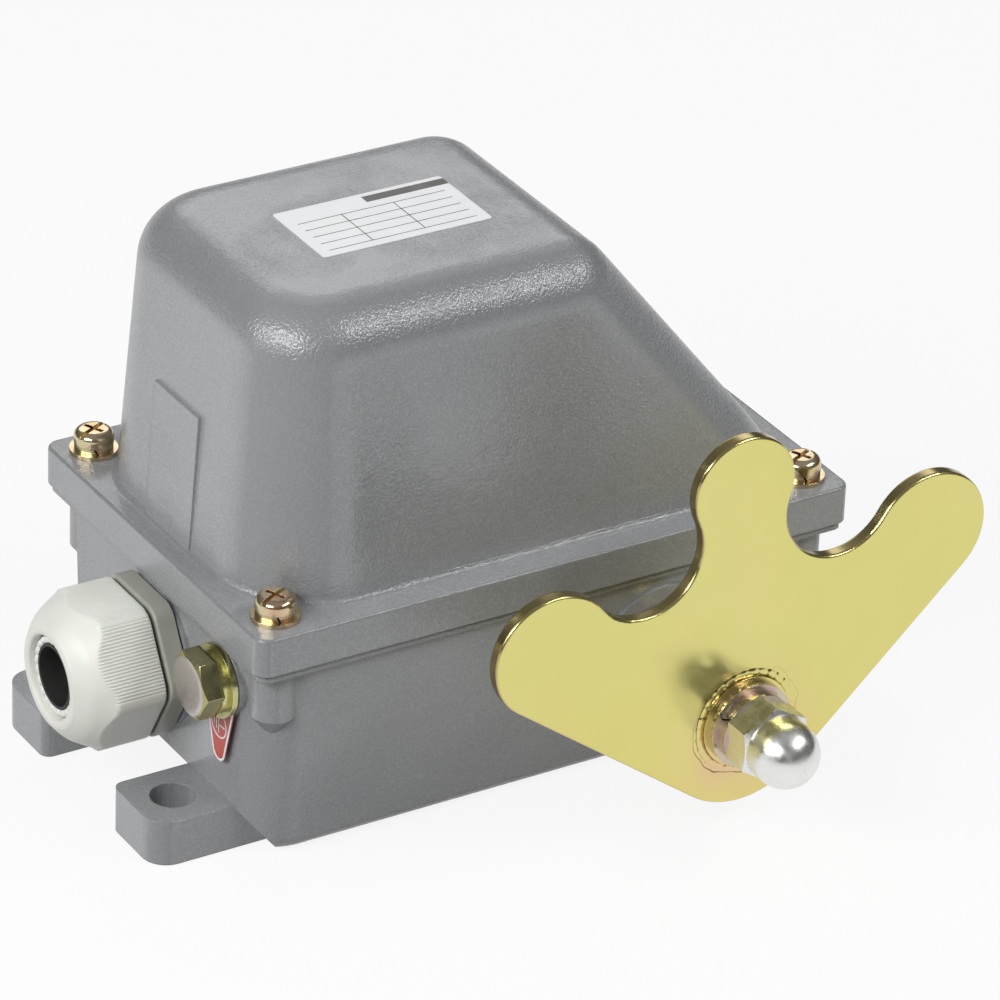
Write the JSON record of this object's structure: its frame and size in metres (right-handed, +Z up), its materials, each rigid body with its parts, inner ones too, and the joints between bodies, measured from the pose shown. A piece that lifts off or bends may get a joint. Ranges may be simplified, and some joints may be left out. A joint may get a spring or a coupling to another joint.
{
  "type": "lever limit switch",
  "caption": "Lever limit switch: cast housing with a sloped cover, lobed lever plate on a cam shaft, contact arms inside, cable gland and earth bolt.",
  "frame": {"origin": "centre of the four mounting holes, on the mounting plane under the feet", "axes": "+X along the long side away from the cable gland, -Y towards the lever, +Z up from the mounting plane"},
  "size_m": [0.2297, 0.1855, 0.1502],
  "materials": {
    "housing_paint": "grey textured paint on cast metal",
    "cover_paint": "grey textured paint on cast metal",
    "black_rubber": "matte",
    "bronze_zinc": "bronze-tinted zinc plating, glossy",
    "yellow_zinc": "yellow passivated zinc plating",
    "lever_zinc": "yellow passivated zinc plating, satin",
    "bright_zinc": "bright zinc plating",
    "chassis_zinc": "dull zinc plating",
    "ground_steel": "ground",
    "spring_steel": "blued spring steel",
    "cam_roller_steel": "polished",
    "bronze_bush": "sintered bronze",
    "contact_brass": "satin",
    "label_foil": "white film with blank ruled fields",
    "tag_red": "red enamel with a white edge",
    "gland_white_plastic": "light grey polyamide",
    "gland_grey_plastic": "mid grey polyamide",
    "claw_white_plastic": "white polyamide",
    "black_phenolic": "moulded phenolic",
    "cam_plastic": "acetal"
  },
  "bodies": {
    "housing": {"base_housing": "housing_paint", "cover": "cover_paint", "cover_gasket": "black_rubber", "cover_screws": "bronze_zinc", "cover_spring_washers": "bronze_zinc", "cover_flat_washers": "bronze_zinc", "rating_label": "label_foil", "gland_body": "gland_grey_plastic", "gland_sealing_ring": "black_rubber", "gland_cap": "gland_white_plastic", "gland_claw": "claw_white_plastic", "gland_seal": "black_rubber", "gland_locknut": "gland_grey_plastic", "earth_bolt": "yellow_zinc", "earth_spring_washer": "yellow_zinc", "earth_flat_washer": "yellow_zinc", "earth_tag": "tag_red", "front_bush": "bronze_bush", "rear_bush": "bronze_bush", "shaft_seal": "black_rubber", "detent_leaf": "spring_steel", "detent_leaf_screw": "bright_zinc", "chassis_bracket": "chassis_zinc", "chassis_screws": "bright_zinc", "pivot_rod": "ground_steel", "pivot_rod_clips": "spring_steel", "contact_block": "black_phenolic", "contact_block_screws": "bright_zinc", "fixed_contacts": "contact_brass", "terminal_washers": "contact_brass", "terminal_screws": "contact_brass", "front_arm_spring": "spring_steel", "rear_arm_spring": "spring_steel"},
    "lever": {"lever_plate": "lever_zinc", "lever_hub": "lever_zinc", "lever_weld_bead": "lever_zinc", "lever_flat_washer": "yellow_zinc", "lever_spring_washer": "yellow_zinc", "acorn_nut": "bright_zinc", "lever_shaft": "ground_steel", "shaft_key": "ground_steel", "shaft_circlips": "spring_steel", "shaft_spacers": "chassis_zinc", "detent_wheel": "ground_steel", "front_cam": "cam_plastic", "rear_cam": "cam_plastic"},
    "front_arm": {"front_contact_arm": "black_phenolic", "front_roller_pin": "ground_steel", "front_bridge_contact": "contact_brass"},
    "rear_arm": {"rear_contact_arm": "black_phenolic", "rear_roller_pin": "ground_steel", "rear_bridge_contact": "contact_brass"},
    "front_roller": {"front_cam_roller": "cam_roller_steel"},
    "rear_roller": {"rear_cam_roller": "cam_roller_steel"}
  },
  "joints": [
    {"name": "lever_turn", "type": "hinge", "parent": "housing", "child": "lever", "pos_m": [0.0337, 0, 0.0343], "axis": [0, 1, 0], "range_deg": [-40, 40], "deforming": ["detent_leaf"]},
    {"name": "front_arm_swing", "type": "hinge", "parent": "housing", "child": "front_arm", "pos_m": [0.00073, -0.008, 0.03332], "axis": [0, 1, 0], "range_deg": [-7.2, 7.2], "deforming": ["front_arm_spring"]},
    {"name": "rear_arm_swing", "type": "hinge", "parent": "housing", "child": "rear_arm", "pos_m": [0.00073, 0.02, 0.03332], "axis": [0, 1, 0], "range_deg": [-7.2, 7.2], "deforming": ["rear_arm_spring"]},
    {"name": "front_roller_spin", "type": "hinge", "parent": "front_arm", "child": "front_roller", "pos_m": [0.0177, -0.008, 0.05029], "axis": [0, 1, 0], "continuous": true},
    {"name": "rear_roller_spin", "type": "hinge", "parent": "rear_arm", "child": "rear_roller", "pos_m": [0.0177, 0.02, 0.05029], "axis": [0, 1, 0], "continuous": true}
  ],
  "couplings": [
    {"joint": "front_arm_swing", "follows": "lever_turn", "ratio": -0.18},
    {"joint": "rear_arm_swing", "follows": "lever_turn", "ratio": 0.18}
  ]
}
